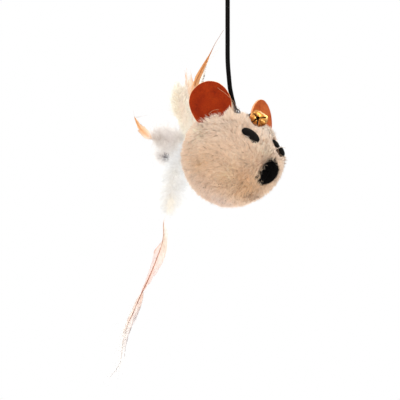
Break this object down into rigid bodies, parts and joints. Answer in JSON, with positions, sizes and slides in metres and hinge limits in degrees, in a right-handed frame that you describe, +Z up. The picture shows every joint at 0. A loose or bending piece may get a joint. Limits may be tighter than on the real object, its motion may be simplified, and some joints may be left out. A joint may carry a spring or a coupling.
{
  "type": "hanging cat toy",
  "caption": "Plush mouse head cat toy with felt eyes, round ears, a jingle bell and a feather tail, hung from a black elastic cord with a loop.",
  "frame": {"origin": "inside top of the hanging loop, where a hook bears", "axes": "+Z up along the plumb line of the hanging cord, the mouse's face towards -Y"},
  "size_m": [0.0654, 0.0924, 0.2315],
  "materials": {
    "black_elastic": "round braided elastic, slight sheen",
    "dark_thread": "twisted sewing thread",
    "clear_thread": "clear nylon thread",
    "beige_plush": "short pile plush, matte",
    "stuffing_fibre": "polyester fibre filling",
    "black_felt": "cut felt, matte",
    "black_pile": "brushed pile, matte",
    "ear_leather": "thin sueded sheet, pale cut edge",
    "bell_brass": "stamped, polished",
    "pellet_steel": "tumbled",
    "glued_quill_ends": "quill ends bound with thread and glue",
    "orange_feather": "dyed hackle feather",
    "cream_down": "down",
    "pink_feather": "sparse barbs",
    "grey_down": "down",
    "white_down": "down",
    "tail_vane": "long hackle feather with sparse tip"
  },
  "bodies": {
    "hook_end": {"hanging_loop": "black_elastic"},
    "knot": {"loop_knot": "black_elastic", "cord_tail_end": "black_elastic"},
    "cord_upper": {"elastic_cord_upper": "black_elastic"},
    "cord_lower": {"elastic_cord_lower": "black_elastic"},
    "cord_foot": {"foot_whipping": "dark_thread"},
    "foot_tie": {"foot_eye": "dark_thread", "foot_stitch": "dark_thread"},
    "mouse": {"plush_right_half": "beige_plush", "plush_left_half": "beige_plush", "stuffing": "stuffing_fibre", "right_eye": "black_felt", "right_eye_stitch": "clear_thread", "left_eye": "black_felt", "left_eye_stitch": "clear_thread", "nose": "black_pile", "ear_thread": "clear_thread", "anchor_knot": "dark_thread", "bell_thread": "dark_thread", "feather_plug": "glued_quill_ends"},
    "right_ear": {"right_ear": "ear_leather"},
    "left_ear": {"left_ear": "ear_leather"},
    "bell": {"bell_shell": "bell_brass", "bell_loop": "bell_brass"},
    "pellet": {"bell_pellet": "pellet_steel"},
    "up_feathers": {"up_feather": "orange_feather", "cream_plume": "cream_down", "pink_plume": "pink_feather"},
    "side_feathers": {"side_feather": "orange_feather", "grey_plume": "grey_down"},
    "tail_feathers": {"tail_feather": "tail_vane", "white_plume": "white_down"}
  },
  "joints": [
    {"name": "swing_fore_aft", "type": "hinge", "parent": "hook_end", "child": "knot", "pos_m": [0, 0, -0.0252], "axis": [1, 0, 0], "range_deg": [-45, 45]},
    {"name": "swing_sideways", "type": "hinge", "parent": "knot", "child": "cord_upper", "pos_m": [0, 0, -0.0252], "axis": [0, 1, 0], "range_deg": [-45, 45]},
    {"name": "cord_twist", "type": "hinge", "parent": "cord_upper", "child": "cord_lower", "pos_m": [0, 0, -0.04515], "axis": [0, 0, 1], "range_deg": [-180, 180], "stiffness_Nm_per_rad": 0.0002},
    {"name": "cord_stretch", "type": "slide", "parent": "cord_lower", "child": "cord_foot", "axis": [0, 0, -1], "range_m": [0, 0.05], "stiffness_N_per_m": 12, "springref_m": -0.01751, "deforming": ["elastic_cord_lower"]},
    {"name": "head_roll", "type": "hinge", "parent": "cord_foot", "child": "foot_tie", "pos_m": [0.0075, -0.0013, -0.0911], "axis": [0, 0.9664, 0.257], "range_deg": [-45, 12], "stiffness_Nm_per_rad": 0.01, "springref_deg": 6.41},
    {"name": "head_nod", "type": "hinge", "parent": "foot_tie", "child": "mouse", "pos_m": [0.0075, -0.0013, -0.0911], "axis": [0.9576, 0.074, -0.2784], "range_deg": [-45, 12], "stiffness_Nm_per_rad": 0.01, "springref_deg": -0.18},
    {"name": "bell_flop", "type": "hinge", "parent": "mouse", "child": "bell", "pos_m": [0.01144, -0.01143, -0.09351], "axis": [-0.5845, 0.5844, 0.5629], "range_deg": [0, 45]},
    {"name": "pellet_roll", "type": "hinge", "parent": "bell", "child": "pellet", "pos_m": [0.00688, -0.01599, -0.09351], "axis": [-0.7071, -0.7071, 0], "range_deg": [-90, 90]},
    {"name": "right_ear_flex", "type": "hinge", "parent": "mouse", "child": "right_ear", "pos_m": [-0.01305, -0.0046, -0.09276], "axis": [0.6586, -0.6585, 0.3642], "range_deg": [-25, 25], "stiffness_Nm_per_rad": 0.002, "springref_deg": 0, "deforming": ["ear_thread"]},
    {"name": "left_ear_flex", "type": "hinge", "parent": "mouse", "child": "left_ear", "pos_m": [0.02266, 0.00196, -0.09923], "axis": [0.556, 0.1088, -0.824], "range_deg": [-25, 25], "stiffness_Nm_per_rad": 0.002, "springref_deg": 0.06},
    {"name": "up_feathers_sway", "type": "hinge", "parent": "mouse", "child": "up_feathers", "pos_m": [0.00162, 0.02196, -0.10763], "axis": [-0.7071, -0.7071, 0], "range_deg": [-15, 15], "stiffness_Nm_per_rad": 0.001, "springref_deg": -0.59},
    {"name": "side_feathers_sway", "type": "hinge", "parent": "mouse", "child": "side_feathers", "pos_m": [0.00162, 0.02196, -0.10763], "axis": [-0.7071, -0.7071, 0], "range_deg": [-15, 15], "stiffness_Nm_per_rad": 0.001, "springref_deg": -0.98},
    {"name": "tail_feathers_sway", "type": "hinge", "parent": "mouse", "child": "tail_feathers", "pos_m": [0.00162, 0.02196, -0.10763], "axis": [-0.7071, -0.7071, 0], "range_deg": [-15, 15], "stiffness_Nm_per_rad": 0.001, "springref_deg": -2.34}
  ]
}
